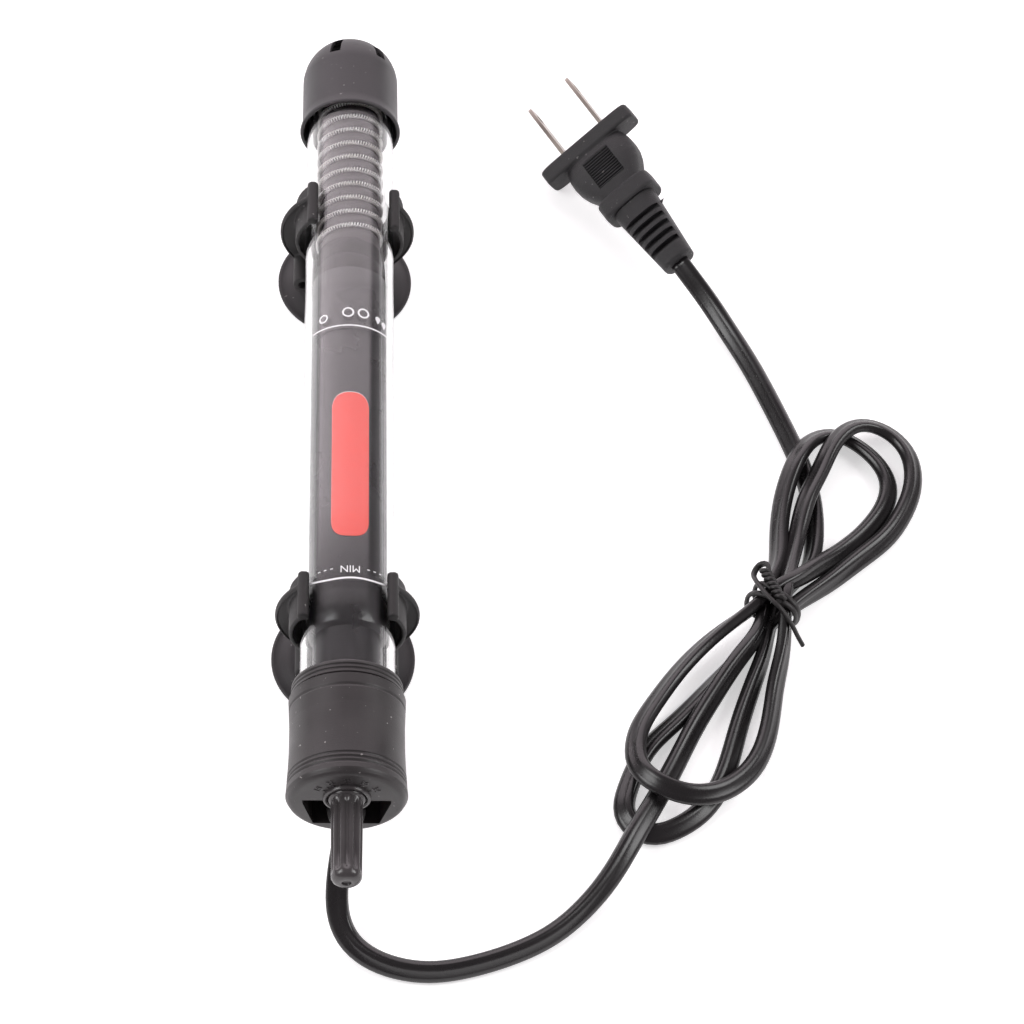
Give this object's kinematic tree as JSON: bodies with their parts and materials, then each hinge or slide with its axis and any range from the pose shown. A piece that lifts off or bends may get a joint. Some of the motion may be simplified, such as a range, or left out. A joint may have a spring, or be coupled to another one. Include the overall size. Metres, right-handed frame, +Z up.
{
  "type": "submersible aquarium heater",
  "caption": "Glass-tube submersible aquarium heater with a guard cap, a fluted temperature knob, two clip-on suction holders, and a flat cord in a tied hank with a flat-blade plug.",
  "frame": {"origin": "on the table under the middle of the heater, without its cord", "axes": "+Y along the heater from the temperature knob to the guard cap, +Z up, +X to the side that the cord lies on"},
  "size_m": [0.1624, 0.2587, 0.0366],
  "materials": {
    "glass": "clear polished glass tube",
    "black_plastic": "satin moulded black plastic",
    "black_rubber": "matte black rubber",
    "knob_plastic": "glossy black plastic",
    "sleeve_black": "dark sleeve behind the glass",
    "signal_red": "coral red bar",
    "ceramic": "warm grey fired ceramic",
    "heating_alloy": "bright coiled resistance wire",
    "brass": "strip brass",
    "steel": "plain steel",
    "circuit_board": "brown laminate",
    "capacitor_blue": "blue coated film",
    "lamp_glass": "neon lamp",
    "silicone": "soft white silicone",
    "wire_white": "white wire insulation",
    "cord_vinyl": "black flexible vinyl, satin",
    "blade_metal": "nickel-plated blade"
  },
  "bodies": {
    "heater": {"glass_tube": "glass", "guard_cap": "black_plastic", "cap_cushion": "silicone", "seal_collar": "black_rubber", "head_cover": "black_plastic", "cord_gland": "black_rubber", "rubber_stopper": "black_rubber", "spindle_o_ring": "black_rubber", "inner_sleeve": "sleeve_black", "signal_window": "signal_red", "thermostat_board": "circuit_board", "bimetal_strip": "brass", "arm_post": "steel", "capacitor": "capacitor_blue", "signal_lamp": "lamp_glass", "element_former": "ceramic", "former_end_disc": "ceramic", "heating_wire": "heating_alloy", "lead_wire_live": "wire_white", "lead_wire_return": "wire_white", "cord_heater_run": "cord_vinyl", "cord_hank": "cord_vinyl", "cord_plug_run": "cord_vinyl", "twist_tie": "cord_vinyl", "plug_body": "black_plastic", "plug_strain_relief": "black_rubber", "plug_blade_left": "blade_metal", "plug_blade_right": "blade_metal"},
    "knob": {"temperature_knob": "knob_plastic", "adjusting_spindle": "steel"},
    "contact_arm": {"contact_arm": "brass"},
    "near_holder": {"near_clip": "black_rubber", "near_suction_cup": "black_rubber"},
    "far_holder": {"far_clip": "black_rubber", "far_suction_cup": "black_rubber"}
  },
  "joints": [
    {"name": "knob_turn", "type": "hinge", "parent": "heater", "child": "knob", "pos_m": [0, -0.102, 0.0258], "axis": [0, -1, 0], "range_deg": [-135, 135]},
    {"name": "arm_tilt", "type": "hinge", "parent": "heater", "child": "contact_arm", "pos_m": [0, -0.014, 0.02305], "axis": [1, 0, 0], "range_deg": [-1.2, 1.2]},
    {"name": "near_clip_slide", "type": "slide", "parent": "heater", "child": "near_holder", "axis": [0, 1, 0], "range_m": [-0.01, 0.038]},
    {"name": "far_clip_slide", "type": "slide", "parent": "heater", "child": "far_holder", "axis": [0, 1, 0], "range_m": [-0.038, 0.016]}
  ],
  "couplings": [
    {"joint": "arm_tilt", "follows": "knob_turn", "ratio": 0.00796}
  ]
}
